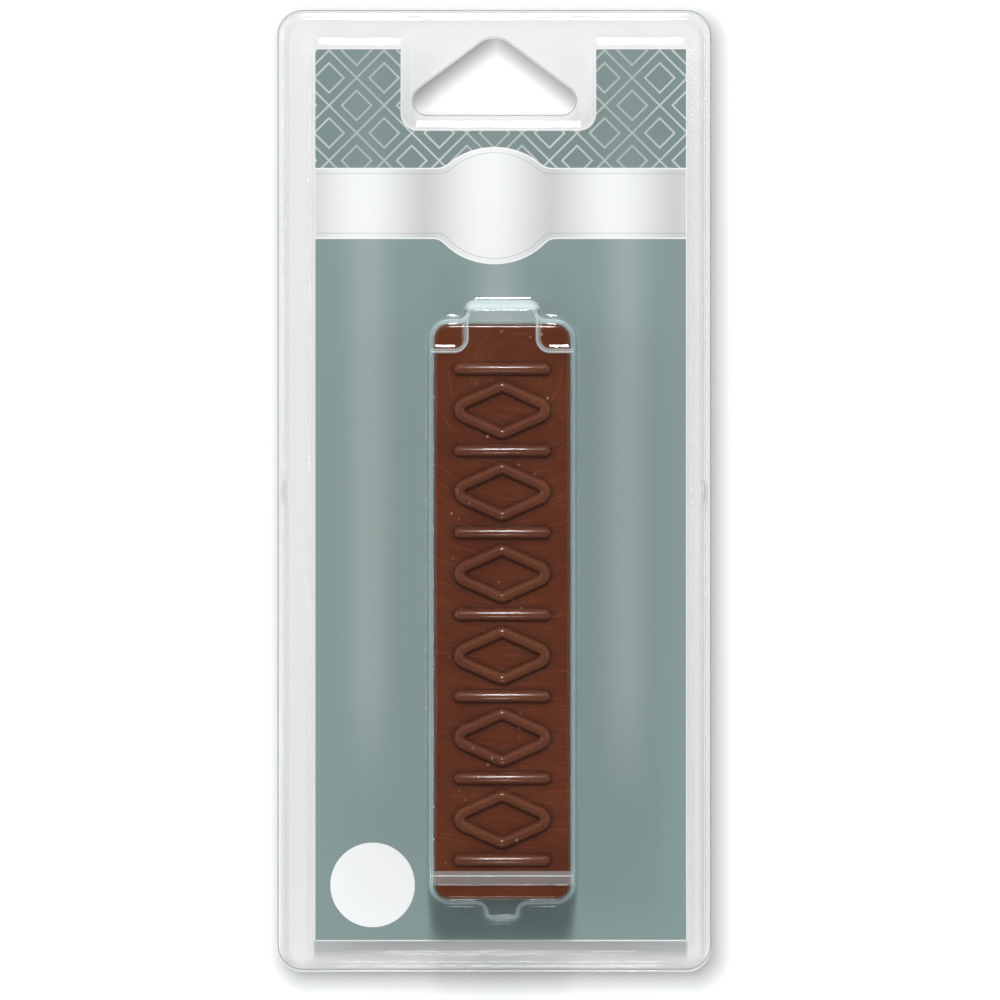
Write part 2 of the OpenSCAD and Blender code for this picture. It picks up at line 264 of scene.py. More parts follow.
# %% Helper for the snaps
snap_half, snap_reach, snap_strips = 3.5, 0.5, 6
snap_middle, snap_apart, wall_band = 1.25, 16.8, 4
along_x, along_y = Vector((1, 0, 0)), Vector((0, 1, 0))
snaps = [
    (Vector((snap_middle - snap_apart, pack_high.y, 0)), along_x),
    (Vector((snap_middle + snap_apart, pack_high.y, 0)), along_x),
    (Vector((pack_low.x, 0, 0)), along_y),
    (Vector((pack_high.x, 0, 0)), along_y),
]


def hump(distance, reach):
    """1 in the middle, 0 at the reach and beyond, with soft ends."""
    return 0.5 + 0.5 * math.cos(math.pi * min(abs(distance) / reach, 1))


def press_snaps(bm, faces, low_z, high_z):
    middle_z, half_z = (low_z + high_z) / 2, (high_z - low_z) / 2
    geom = list({g for f in faces for g in (f, *f.edges, *f.verts)})
    for place, along in snaps:
        outwards = (place - along * place.dot(along)).normalized()
        for i in range(-snap_strips, snap_strips + 1):
            cut = place + along * snap_half * i / snap_strips
            geom = bmesh.ops.bisect_plane(bm, geom=geom, plane_co=cut, plane_no=along)["geom"]
        for v in (g for g in geom if isinstance(g, bmesh.types.BMVert)):
            if (place - v.co).dot(outwards) < wall_band:
                bulge = hump((v.co - place).dot(along), snap_half) * hump(v.co.z - middle_z, half_z)
                v.co += outwards * snap_reach * bulge


print(len(snaps), "snaps, each", 2 * snap_half, "mm long with its soft ends")

# %% [markdown]
# ## Tray
# Both halves of the pack start as the same tray: a flat lip, a flange that stands up from it, and a shallow
# card pocket on the flange with a notch round the hang slot. Each half could be drawn by itself, but the
# back half is the front half's form moved inwards by the gap between them, so one function makes both. It
# models the sheet's outer face only. A narrow ring along the lip and round the slot is kept apart, because a
# cut edge looks darker than the sheet.

# %% Outlines of the tray
card_notch = [Vector((-18.45, 72.2)), Vector((20.05, 72.2))]
side_gap, top_gap, bottom_gap = 1.45, 1.8, 2.7
pocket_r, notch_r, pack_r = 2.2, 1.7, 5.0
lip_w, fold_side = 1.1, 0.35
left, right = card_low.x - side_gap, card_high.x + side_gap
bottom, top = card_low.y - bottom_gap, card_high.y + top_gap
notch_left, notch_right = card_notch[0].x + side_gap, card_notch[1].x - side_gap
notch_low = card_notch[0].y + side_gap
pocket_outline = [
    (left, bottom, pocket_r), (right, bottom, pocket_r), (right, top, pocket_r),
    (notch_right, top, pocket_r), (notch_right, notch_low, notch_r),
    (notch_left, notch_low, notch_r), (notch_left, top, pocket_r), (left, top, pocket_r),
]
lip_outline = rectangle(Vector((pack_low.x, front_low.y)), pack_high, pack_r)
flange_low = Vector((pack_low.x, pack_low.y + fold_side))
flange_outline = grown(rectangle(flange_low, pack_high, pack_r), -lip_w)
print("pocket of", round(right - left, 1), "by", round(top - bottom, 1), "mm")

# %% Helper for the tray
cut_w = 0.2


def formed_tray(bm, lip_z, top_of_flange, top_of_pocket, inset, flange_bends, pocket_bends):
    """Lip, flange, snaps, slot and pocket. It returns the pocket's top, which is a single plate."""
    others = set(bm.faces)
    rim = cut_plate(bm, grown(flange_outline, foot_reach(flange_bends[0]) - inset), lip_z)
    walk(bm, rim, wall(top_of_flange - lip_z, *flange_bends, parts=6))
    press_snaps(bm, [f for f in bm.faces if f not in others and f is not rim], lip_z, top_of_flange)
    bmesh.ops.delete(bm, geom=[rim], context="FACES_ONLY")
    pocket = cut_plate(bm, grown(pocket_outline, foot_reach(pocket_bends[0]) - inset), top_of_flange)
    walk(bm, pocket, wall(top_of_pocket - top_of_flange, *pocket_bends))
    others = set(bm.faces)
    slot, lip = slot_plate(bm, top_of_flange, cut_w), cut_plate(bm, lip_outline, lip_z)
    walk(bm, slot, [(cut_w, 0)])
    walk(bm, lip, [(cut_w, 0)])
    for f in bm.faces:
        f.material_index = f not in others
    slot_edge = set(slot.edges)
    lip_edge = {e for e in bm.edges if e.is_boundary and e.link_faces[0].material_index}
    bmesh.ops.delete(bm, geom=[slot, lip], context="FACES_ONLY")
    areas = fill_flat(bm, top_of_flange, slot_edge), fill_flat(bm, lip_z, lip_edge)
    print("tray with a flange of", round(areas[0]), "and a lip of", round(areas[1]), "mm2")
    return pocket


print("cut edges are", cut_w, "mm wide")

# %% [markdown]
# ## Finishes as sums
# A procedural finish is mostly arithmetic on the place of a point. Wiring Math nodes by hand hides that
# arithmetic, so a small class wraps a socket and turns Python's own signs into Math nodes. A second one holds
# a material and places every other node with one method.

# %% Class for sums
class Wire:
    """A socket that can be used in sums: each sign adds one Math node."""

    def __init__(self, finish, socket):
        self.finish, self.socket = finish, socket

    def sum(self, operation, *values):
        return self.finish.node("ShaderNodeMath", {"operation": operation}, dict(enumerate(values)))

    def __add__(self, other):
        return self.sum("ADD", self, other)

    def __radd__(self, other):
        return self.sum("ADD", other, self)

    def __sub__(self, other):
        return self.sum("SUBTRACT", self, other)

    def __rsub__(self, other):
        return self.sum("SUBTRACT", other, self)

    def __mul__(self, other):
        return self.sum("MULTIPLY", self, other)

    def __rmul__(self, other):
        return self.sum("MULTIPLY", other, self)

    def __truediv__(self, other):
        return self.sum("DIVIDE", self, other)

    def __pow__(self, other):
        return self.sum("POWER", self, other)

    def __abs__(self):
        return self.sum("ABSOLUTE", self)

    def above(self, other):
        """1 where it is the greater of the two, and 0 elsewhere."""
        return self.sum("GREATER_THAN", self, other)

    def least(self, other):
        return self.sum("MINIMUM", self, other)

    def most(self, other):
        return self.sum("MAXIMUM", self, other)

    def clamped(self):
        return self.most(0.0).least(1.0)

    def hypot(self, other):
        """The distance of a point that lies that far across and that far along."""
        pair = self.finish.node("ShaderNodeCombineXYZ", {}, {0: self, 1: other})
        return self.finish.node("ShaderNodeVectorMath", {"operation": "LENGTH"}, {0: pair}, "Value")

    def folded(self, half):
        """A zigzag: the distance to the nearest multiple of twice that half."""
        return self.sum("PINGPONG", self, half)

    def cosine(self, period, shift=0.0):
        """A wave from 0 to 1 and back, highest at the shift."""
        wave = (self - shift) * (2 * math.pi / period)
        return 0.5 + 0.5 * wave.sum("COSINE", wave)


print("sums besides the signs:", ", ".join(name for name in vars(Wire) if name[0] != "_"))

# %% Class for a finish
class Finish:
    """A material whose nodes all come from one method."""

    def __init__(self, name, tree=None):
        if tree is None:
            self.material = bpy.data.materials.new(name)
            self.material.use_nodes = True
            tree = self.material.node_tree
        tree.nodes.clear()
        self.tree = tree

    def node(self, kind, settings={}, inputs={}, output=0):
        made = self.tree.nodes.new(kind)
        for key, value in settings.items():
            if key == "stops":
                while len(made.color_ramp.elements) < len(value):
                    made.color_ramp.elements.new(1.0)
                for stop, (place, level) in zip(made.color_ramp.elements, value):
                    stop.position, stop.color = place, (level, level, level, 1.0)
            else:
                setattr(made, key, value)
        for key, value in inputs.items():
            if isinstance(value, Wire):
                self.tree.links.new(value.socket, made.inputs[key])
            else:
                made.inputs[key].default_value = value
        return Wire(self, made.outputs[output])

    def spot(self):
        """Where a point lies on its piece, in metres."""
        return self.node("ShaderNodeTexCoord", output="Object")

    def apart(self, spot):
        """The same place as x, y and z in millimetres."""
        return [self.node("ShaderNodeSeparateXYZ", {}, {0: spot}, axis) / mm for axis in "XYZ"]

    def mix(self, share, first, second):
        return self.node("ShaderNodeMix", {"data_type": "RGBA"}, {0: share, 6: first, 7: second}, 2)

    def noise(self, at, scale, detail=2.0, rough=0.5):
        inputs = {"Vector": at, "Scale": scale, "Detail": detail, "Roughness": rough}
        return self.node("ShaderNodeTexNoise", {}, inputs)

    def bump(self, height, strength, distance):
        inputs = {"Strength": strength, "Distance": distance, "Height": height}
        return self.node("ShaderNodeBump", {}, inputs)

    def blend(self, share, first, second):
        return self.node("ShaderNodeMixShader", {}, {0: share, 1: first, 2: second})

    def principled(self, inputs):
        return self.node("ShaderNodeBsdfPrincipled", {}, inputs)

    def shown(self, shader, kind="ShaderNodeOutputMaterial"):
        self.tree.links.new(shader.socket, self.tree.nodes.new(kind).inputs["Surface"])


print("finish class ready")

# %% Helper for colours
def linear(level):
    """One channel of a screen colour, 0 to 255, as the linear number that a shader takes."""
    return level / 255 / 12.92 if level < 11 else ((level / 255 + 0.055) / 1.055) ** 2.4


def seen(red, green, blue):
    return linear(red), linear(green), linear(blue), 1.0


print("middle grey in linear numbers:", [round(c, 3) for c in seen(128, 128, 128)])

# %% [markdown]
# ## Clear sheet
# Clear plastic shows itself in three ways: it mirrors a little, it takes a little of the light, and it turns
# milky where it is looked along or where forming has stretched it. True refraction through a sheet this thin
# would only cost noise, so the finish mixes a see-through shader with a milky one and a mirror by the facing
# angle. Painted light stands in for some of what refraction shows: painted shade as smoke along the foot of
# each wall, and milk that grows up the walls as a painted bright band below their tops. Marks go on the mesh
# in an attribute while it is shaped: stretched places, and painted highlights where milky lines stand in for
# the lamps' reflections in the bends.

# %% Finish of the clear sheet
def clear_finish(name, tint, milk_tint, smoke_tint, flat_milk, wall_smoke):
    finish = Finish(name)
    at = finish.spot()
    z = finish.apart(at)[2]
    facing = finish.node("ShaderNodeLayerWeight", {}, {"Blend": 0.5}, "Facing")
    stretched = finish.node("ShaderNodeAttribute", {"attribute_name": "stretched"}, {}, "Fac")
    ripple = finish.bump(finish.noise(at, 45.0), 0.006, 0.0003)
    steep = ((facing - 0.25) / 0.6).clamped()
    height = ((z - panel_z) / (top_z - panel_z)).clamped()
    # Painted shade: smoke darkens the sheet along the foot of each wall.
    wall_foot_shade = (1.0 - abs(z - panel_z - 0.5) / 0.9).clamped()
    through = finish.node("ShaderNodeBsdfTransparent", {}, {"Color": tint})
    smoky = finish.node("ShaderNodeBsdfTransparent", {}, {"Color": smoke_tint})
    milky = finish.node("ShaderNodeBsdfDiffuse", {}, {"Color": milk_tint})
    mirror = finish.node("ShaderNodeBsdfAnisotropic", {}, {
        "Color": (1, 1, 1, 1), "Roughness": 0.05, "Normal": ripple})
    smoke = steep ** 2 * (wall_smoke + 0.6 * wall_foot_shade)
    # Milk grows up the steep walls as a painted bright band below their tops, and the marks add painted
    # highlights with the milk of stretched places.
    milk = flat_milk + steep ** 5 * (0.04 + 0.4 * height + 0.7 * stretched) + 0.3 * stretched
    body = finish.blend(milk.clamped(), finish.blend(smoke, through, smoky), milky)
    finish.shown(finish.blend(0.02 + 0.35 * facing ** 5, body, mirror))
    return finish.material


clear, grey, card_reflection_tint = (0.985, 0.985, 0.985, 1), (0.70, 0.70, 0.70, 1), (0.58, 0.75, 0.76, 1)
clear_sheet = clear_finish("clear_sheet", clear, (0.91, 0.91, 0.90, 1), grey, 0.001, 0.36)
# The blister's milk and smoke are tinted cyan, a painted reflection of the teal card round it.
blister_sheet = clear_finish("blister_sheet", clear, (0.86, 0.95, 0.95, 1), card_reflection_tint, 0.001, 0.3)
cut_edge = clear_finish("cut_edge", (0.87, 0.87, 0.88, 1), (0.92, 0.92, 0.92, 1), grey, 0.02, 0.25)
print("finishes:", clear_sheet.name, blister_sheet.name, cut_edge.name)

# %% [markdown]
# ## From mesh to piece
# A finished bmesh is scaled to metres and becomes an object that rides on a body of the packed model and
# stands for one of its nodes. Round forms are shaded smooth, and edges that turn sharply, such as the sheet's
# cut edges, stay crisp. An outer face becomes a sheet with solidify, which keeps the thickness even round the
# bends.

# %% Helpers for finished pieces
crisp_angle, weld = 38, 0.005


def as_object(bm, name, finishes):
    print(name, "has", len(bm.faces), "faces")
    bmesh.ops.scale(bm, vec=(mm, mm, mm), verts=bm.verts)
    mesh = bpy.data.meshes.new(name)
    bm.to_mesh(mesh)
    bm.free()
    mesh.shade_smooth()
    mesh.set_sharp_from_angle(angle=math.radians(crisp_angle))
    for finish in finishes:
        mesh.materials.append(finish)
    made = bpy.data.objects.new(name, mesh)
    bpy.context.scene.collection.objects.link(made)
    return made


def add_piece(bm, name, finishes, body, node):
    print(name, "holds", round(bm.calc_volume(signed=True), 1), "mm3")
    piece = as_object(bm, name, finishes)
    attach(piece, body)
    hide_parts(node)


def thicken(bm):
    """Turns an outer face into a sheet: its faces are turned up, and the sheet grows downwards from them."""
    bmesh.ops.remove_doubles(bm, verts=bm.verts, dist=weld)
    bmesh.ops.dissolve_degenerate(bm, dist=weld, edges=bm.edges)
    bmesh.ops.recalc_face_normals(bm, faces=bm.faces)
    if max(bm.faces, key=lambda f: f.calc_area()).normal.z < 0:
        bmesh.ops.reverse_faces(bm, faces=bm.faces)
    bmesh.ops.solidify(bm, geom=bm.faces[:], thickness=sheet_t)


print("edges that turn by more than", crisp_angle, "degrees stay crisp")

# %% [markdown]
# ## Back half
# The back half nests inside the front half and carries the card on a raised seat. It is the tray alone, moved
# inwards by the gap between the halves and closed over the seat, then thickened into a sheet. Scaling the
# front half down would thin the gap at the corners. Hollow bends are wider here than on the front half and
# round ones tighter, so the two sheets stay apart all round.

# %% Make the back half
back_flange_bends, back_seat_bends = (1.0, 0.35), (0.6, 0.45)
bm = bmesh.new()
formed_tray(bm, back_lip_z, flange_z - nest, card_low.z, nest, back_flange_bends, back_seat_bends)
thicken(bm)
add_piece(bm, "back_half", [clear_sheet, cut_edge], "back", "back_shell")

# %% [markdown]
# ## Blister
# The blister is the deep pocket over the stick, with a tab at each end. Its plan is the stick's own, widened
# by the room round the stick and by the draft. The tabs could be separate boxes joined on, but then the bend
# round their roots would have to be made by hand. As corners of one plan they get it from the walk, and they
# are leaned inwards afterwards.

# %% Plan of the blister
block_r = 3.2
tab_half, tail_half, tab_out = 7.6, 4.0, 3.45
flare_r, tab_r = 1.2, 2.1
reach = stick_room + sheet_t + (face_z - panel_z) * math.tan(math.radians(draft))
blister_half, blister_r = stick_high.x - stick_x + reach, block_r + reach
blister_high, blister_low = stick_high.y + reach, stick_low.y - reach
plan = [
    (-blister_half, blister_low, blister_r), (-tail_half, blister_low, flare_r),
    (-tail_half, blister_low - tab_out, tab_r), (tail_half, blister_low - tab_out, tab_r),
    (tail_half, blister_low, flare_r), (blister_half, blister_low, blister_r),
    (blister_half, blister_high, blister_r), (tab_half, blister_high, flare_r),
    (tab_half, blister_high + tab_out, tab_r), (-tab_half, blister_high + tab_out, tab_r),
    (-tab_half, blister_high, flare_r), (-blister_half, blister_high, blister_r),
]
blister_outline = [(x + stick_x, y, radius) for x, y, radius in plan]
print("blister of", round(2 * blister_half, 1), "by", round(blister_high - blister_low, 1), "mm and two tabs")

# %% Walk the blister's wall
blister_bends = (0.6, 0.9)
tab_lean, tail_lean = 1.3, 0.8


def held(value):
    """A number kept between 0 and 1."""
    return min(max(value, 0), 1)


bm = bmesh.new()
crown = cut_plate(bm, grown(blister_outline, foot_reach(blister_bends[0])), panel_z)
foot_area = crown.calc_area()
walk(bm, crown, wall(top_z - panel_z, *blister_bends, parts=4))
for v in bm.verts:
    height = (v.co.z - panel_z) / (top_z - panel_z)
    v.co.y -= tab_lean * height * held((v.co.y - blister_high) / tab_out)
    v.co.y += tail_lean * height * held((blister_low - v.co.y) / tab_out)
print("blister wall:", len(bm.faces), "faces")

# %% [markdown]
# ## Steps of the blister
# The blister stands highest over the stick's raised ornament. It drops a little on its two upper corners,
# inside a rounded crease, and at its lower end. Cutting those steps out of the wall would leave hard seams,
# so the top is cut into a fine grid along the steps, and the grid is then lowered where a step lies. The
# creases are marked milky while that is done, partly for the stretched sheet and mostly as painted
# highlights; the kink at the lower end gets a painted highlight, the slope there a painted reflection, and
# the tab and its end wall painted light.

# %% How far a step drops
channel, upper_step, lower_step = 6.9, 27.6, -75.2
step_r, step_w = 2.6, 2.6
crease_half, second_crease, second_half = 0.2, 0.5, 0.25
end_slope, end_crease, end_w = 0.1, 1.1, 1.8


def eased(value):
    share = held(value)
    return share * share * (3 - 2 * share)


def corner_drop(x, y):
    """How far a point has dropped into a low upper corner, and how near it is to the creases there."""
    u, v = step_r - (abs(x - stick_x) - channel), step_r - (y - upper_step)
    inside = step_r - min(max(u, v), 0) - math.hypot(max(u, 0), max(v, 0))
    upper_crease = 1 - abs(inside) / crease_half
    lower_crease = 0.75 - abs(inside - second_crease) / second_half
    return 1 - (1 - held(inside / step_w)) ** 4, max(upper_crease, lower_crease, 0)


def end_drop(y):
    """How far it has dropped at the lower end: along a slight slope, then a steeper one after a crease."""
    steeper = held((lower_step - end_crease - y) / end_w)
    return end_slope * eased(lower_step - y) + (1 - end_slope) * steeper


print("the steps drop by", round(top_z - step_z, 2), "mm")

# %% Cut the top into a grid
grid_gap, stick_end = 0.15, 0.1
bend_start = top_z - blister_bends[1] - 0.01


def slice_top(bm, normal, places):
    """Cuts the blister's top and its round edge, and leaves the wall under them whole."""
    for place in places:
        crest = [f for f in bm.faces if min(v.co.z for v in f.verts) > bend_start]
        geom = list({g for f in crest for g in (f, *f.edges, *f.verts)})
        bmesh.ops.bisect_plane(bm, geom=geom, plane_co=normal * place, plane_no=normal)


stretched = bm.verts.layers.float.new("stretched")
ring = [i * grid_gap for i in range(-3, 22)]
slice_top(bm, along_y, [upper_step + d for d in ring] + [lower_step - i * grid_gap for i in range(-1, 22)])
slice_top(bm, along_y, [stick_high.y - stick_end, stick_high.y + stick_end])
slice_top(bm, along_x, [stick_x + side * (channel + d) for side in (-1, 1) for d in ring])
print("blister with its grid:", len(bm.faces), "faces")

# %% Lower the steps
crease_milk_and_highlight, kink_painted_highlight, slope_painted_reflection, tab_painted_light, end_painted_light = 1.7, 2.0, 0.35, 0.35, 0.5
slope_w, kink_in, kink_half = 3.1, 1.05, 0.16
above_foot, beyond_root = panel_z + 0.5, blister_high + 1.5
for v in bm.verts:
    x, y = v.co.xy
    if v.co.z > bend_start:
        drop, crease = corner_drop(x, y)
        slope = held(min((lower_step - y) / 0.2, (y - lower_step + slope_w) / 0.3))
        kink = 1 - abs(y - lower_step + kink_in) / kink_half
        beyond_stick = y > stick_high.y
        # Painted highlights at the creases and the kink, painted reflection on the slope, painted light in
        # the tab.
        marks = crease_milk_and_highlight * crease, slope_painted_reflection * slope, kink_painted_highlight * kink, tab_painted_light * beyond_stick
        v[stretched] = max(marks)
        v.co.z -= (top_z - step_z) * max(drop, end_drop(y))
    elif v.co.z > above_foot and y > beyond_root:
        # Painted light on the tab's end wall.
        v[stretched] = end_painted_light
print(sum(v[stretched] > 0 for v in bm.verts), "of", len(bm.verts), "vertices lie in stretched places")

# %% [markdown]
# ## Front half
# The front half is the tray again, at full size, with the blister standing on its card pocket. The blister
# could be a piece of its own, but on the real pack it is the same sheet. So the flat of the pocket is filled
# between its own edge and the blister's foot, and then the whole skin is thickened at once.

# %% Make the front half
front_flange_bends, front_pocket_bends = (0.5, 0.8), (0.3, 0.8)
blister_faces = bm.faces[:]
pocket = formed_tray(bm, front_lip_z, flange_z, panel_z, 0, front_flange_bends, front_pocket_bends)
for f in blister_faces:
    f.material_index = 2
open_area = pocket.calc_area() - foot_area
bmesh.ops.delete(bm, geom=[pocket], context="FACES_ONLY")
print("panel of", round(fill_flat(bm, panel_z)), "mm2, where", round(open_area), "mm2 are open")
thicken(bm)
front_finishes = [clear_sheet, cut_edge, blister_sheet]
add_piece(bm, "front_half", front_finishes, "front", "front_shell")

# %% [markdown]
# ## Fold
# The halves are one sheet, folded along the lower edge. The fold is a narrow strip bent through half a turn.
# A flat strip could be bent by a modifier, but one edge spun about the hinge line makes it at once.

# %% Make the fold
bm = bmesh.new()
fold_r = (fold_high.z - fold_low.z) / 2
axis = Vector((0, fold_high.y, fold_low.z + fold_r))
ends = [bm.verts.new((x, axis.y, axis.z + fold_r)) for x in (fold_low.x, fold_high.x)]
bmesh.ops.spin(bm, geom=[*ends, bm.edges.new(ends)], cent=axis, axis=(1, 0, 0), angle=math.pi, steps=12)
bmesh.ops.recalc_face_normals(bm, faces=bm.faces)
if sum(f.normal.y for f in bm.faces) > 0:
    bmesh.ops.reverse_faces(bm, faces=bm.faces)
bmesh.ops.solidify(bm, geom=bm.faces[:], thickness=sheet_t)
fold_strip = as_object(bm, "fold_strip", [clear_sheet])
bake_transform(fold_strip)
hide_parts("hinge_fold")
print("fold of radius", round(fold_r, 3), "mm")

# %% [markdown]
# ## Board of the card
# The card is cut from white board, whose fibres show along its edges and on its back. One even white would
# look like plastic, so fine noise shifts the tone and the gloss and roughens the surface a little.

# %% Finish of the board
def board_finish():
    finish = Finish("card_board")
    fibres = finish.noise(finish.spot(), 900.0, 4.0, 0.6)
    finish.shown(finish.principled({
        "Base Color": finish.mix(fibres, seen(236, 236, 233), seen(250, 250, 248)),
        "Roughness": 0.75 + 0.1 * fibres,
        "Normal": finish.bump(fibres, 0.15, 0.0002)}))
    return finish.material


board = board_finish()
print("finish:", board.name)

# %% [markdown]
# ## Print of the card
# The face is printed in a dull metallic teal with paler bands, a painted sheen where the ink catches the
# light.
# A silver band with a plain medallion crosses it, and a fine silver trellis fills the part above the band;
# both carry painted sheen in bands as well. The print has no relief, so there is nothing to model. It is
# arithmetic on the place of a point, which stays sharp at any size and needs no picture.

# %% Trellis above the band
trellis_low, trellis_pitch, diamond, line_half = 64.0, 11.0, 0.27, 0.17
slant = math.sqrt(0.5)


def stroke(distance, half):
    """A line with a soft edge along the places where a distance is nought."""
    return (1.5 - abs(distance) / half).clamped()


def trellis(x, y):
    """Two sets of slanting lines, and a smaller diamond in each mesh between them."""
    half = trellis_pitch / 2
    u, v = x + y, x - y
    lines = stroke(v.folded(half) * slant, line_half).most(stroke(u.folded(half) * slant, line_half))
    mesh = (u + half).folded(half).most((v + half).folded(half))
    lines = lines.most(stroke((mesh - trellis_pitch * diamond) * slant, line_half))
    return lines * y.above(trellis_low)


print("trellis with a pitch of", trellis_pitch, "mm")

# %% Inks and their painted sheen
band_y, band_half = 57.43, 7.09
medal_y, medal_half_w, medal_half_h = 57.0, 13.2, 11.7
sheen_gap = 25.8


def band_distance(x, y):
    """How far a point lies outside the band and its medallion, which run into each other softly."""
    band = abs(y - band_y) - band_half
    medal = (x / medal_half_w).hypot((y - medal_y) / medal_half_h) * medal_half_h - medal_half_h
    return band.sum("SMOOTH_MIN", band, medal, 1.6)


def teal_ink_with_sheen(finish, x, y):
    # Paler bands are painted sheen, fading towards the bottom; the teal is darker above the trellis line and
    # a little darker towards the top.
    teal_sheen = x.cosine(sheen_gap, 0.5) ** 3.5
    fade = ((y + 64) / 26).clamped()
    teal = finish.mix(teal_sheen * fade, seen(130, 152, 150), seen(154, 172, 169))
    teal = finish.mix((y - trellis_low).clamped() * 0.8, teal, seen(114, 135, 133))
    return finish.mix(((y + 75) / 110).clamped() * 0.06, teal, (0, 0, 0, 1))


def silver_ink_with_sheen(finish, x, edge):
    """Silver with bands of painted sheen, a white line along its edge and a thin grey one inside that."""
    # The silver is paler in waves along the band: painted sheen.
    silver = finish.mix(x.cosine(25.0, -1.3) ** 0.7, seen(206, 206, 206), seen(247, 247, 247))
    silver = finish.mix(stroke(edge + 0.14, 0.12) * 0.9, silver, seen(255, 255, 255))
    return finish.mix(stroke(edge + 1.15, 0.09) * 0.35, silver, seen(128, 132, 134))


print("band of", round(2 * band_half, 1), "mm with a medallion of", round(2 * medal_half_h, 1), "mm")

# %% Finish of the print
def printed_finish():
    finish = Finish("printed_card")
    at = finish.spot()
    x, y, _ = finish.apart(at)
    edge = band_distance(x, y)
    # The trellis ink turns paler and darker in bands along the card: painted sheen.
    trellis_ink_with_sheen = finish.mix(x.cosine(sheen_gap, -13.0), seen(182, 189, 187), seen(214, 216, 213))
    ground = finish.mix(trellis(x, y) * 0.9, teal_ink_with_sheen(finish, x, y), trellis_ink_with_sheen)
    ink = finish.mix((0.5 - edge / 0.1).clamped(), ground, silver_ink_with_sheen(finish, x, edge))
    grain = finish.noise(at, 5000.0, 2.0, 0.7)
    finish.shown(finish.principled({
        "Base Color": finish.mix((grain - 0.5) * 0.16, ink, seen(235, 238, 238)),
        "Roughness": 0.5 + 0.1 * grain,
        "Specular IOR Level": 0.3,
        "Coat Weight": 0.9 + 0.1 * grain,
        "Coat Roughness": 0.45,
        "Normal": finish.bump(finish.noise(at, 700.0), 0.015, 0.0002)}))
    return finish.material


printed = printed_finish()
print("finish:", printed.name, "with", len(printed.node_tree.nodes), "nodes")

# %% [markdown]
# ## Card
# The card is a flat plate with a notch at the top, so its outline is cut once and thickened. A cube with the
# notch cut out by a boolean would give the same, but the plate also yields the thin white rim round the
# print, as one more inset. Long thin faces shade and bake badly, so the card is cut across at the end.

# %% Make the card
card_r, white_rim, strip_h = 0.2, 0.26, 15
low_notch_r = notch_r + side_gap
card_outline = [
    (card_low.x, card_low.y, card_r), (card_high.x, card_low.y, card_r),
    (card_high.x, card_high.y, card_r), (card_notch[1].x, card_high.y, card_r),
    (*card_notch[1], low_notch_r), (*card_notch[0], low_notch_r),
    (card_notch[0].x, card_high.y, card_r), (card_low.x, card_high.y, card_r),
]
bm = bmesh.new()
face = cut_plate(bm, card_outline, card_high.z)
walk(bm, face, [(white_rim, 0)])
for f in bm.faces:
    f.material_index = f is not face
bmesh.ops.solidify(bm, geom=bm.faces[:], thickness=card_high.z - card_low.z)
for f in bm.faces:
    f.material_index = 1 if f.normal.z < 0.9 else f.material_index
cuts = [(along_y * strip_h * i, along_y) for i in range(-5, 6)]
for place, normal in [*cuts, (Vector(), along_x)]:
    bmesh.ops.bisect_plane(bm, geom=[*bm.verts, *bm.edges, *bm.faces], plane_co=place, plane_no=normal)
add_piece(bm, "card", [printed, board], "front", "card_insert")

# %% [markdown]
# ## Label
# The label is a round sticker of bare white paper. A flat disc would do from afar, but a sticker has an edge.
# So the rim of a disc is walked up in two small steps, and its edge catches a little light.

# %% Finish of the label
def paper_finish():
    finish = Finish("label_paper")
    fibres = finish.noise(finish.spot(), 1500.0, 5.0, 0.65)
    finish.shown(finish.principled({
        "Base Color": finish.mix(fibres, seen(249, 250, 250), seen(255, 255, 255)),
        "Roughness": 0.55 + 0.15 * fibres,
        "Normal": finish.bump(fibres, 0.08, 0.0001)}))
    return finish.material


paper = paper_finish()
print("finish:", paper.name)

# %% Make the label
bm = bmesh.new()
label_t, label_r = label_high.z - label_low.z, (label_high.x - label_low.x) / 2
middle = (label_low + label_high) / 2
spot = Matrix.Translation((middle.x, middle.y, label_low.z))
bmesh.ops.create_circle(bm, cap_ends=True, segments=96, radius=label_r, matrix=spot)
walk(bm, bm.faces[:][0], [(0, label_t * 0.6), (label_t * 0.4, label_t * 0.4)])
bmesh.ops.create_circle(bm, cap_ends=True, segments=96, radius=label_r, matrix=spot)
bmesh.ops.remove_doubles(bm, verts=bm.verts, dist=1e-4)
bmesh.ops.recalc_face_normals(bm, faces=bm.faces)
add_piece(bm, "label_disc", [paper], "front", "shade_label")

# %% [markdown]
# ## Ornament of the stick
# The wax takes a relief from its mould: bars across the face and a lozenge between each two, all in
# half-round strokes. Their places are worked out before anything is made, because the finish needs them as
# well as the mesh: shade is painted into the corner at the foot of each stroke.

# %% Places of the bars and lozenges
relief_half, lozenges = 9.65, 6
relief_low, relief_high = stick_low.y + 8.0, stick_high.y - 9.2
pitch = (relief_high - relief_low) / lozenges
lozenge_r = 2 * stroke_r + 0.3
lozenge_x, lozenge_y = relief_half - lozenge_r, pitch / 2 - stroke_r - 1.1 - lozenge_r
print(lozenges, "lozenges at a pitch of", round(pitch, 2), "mm")

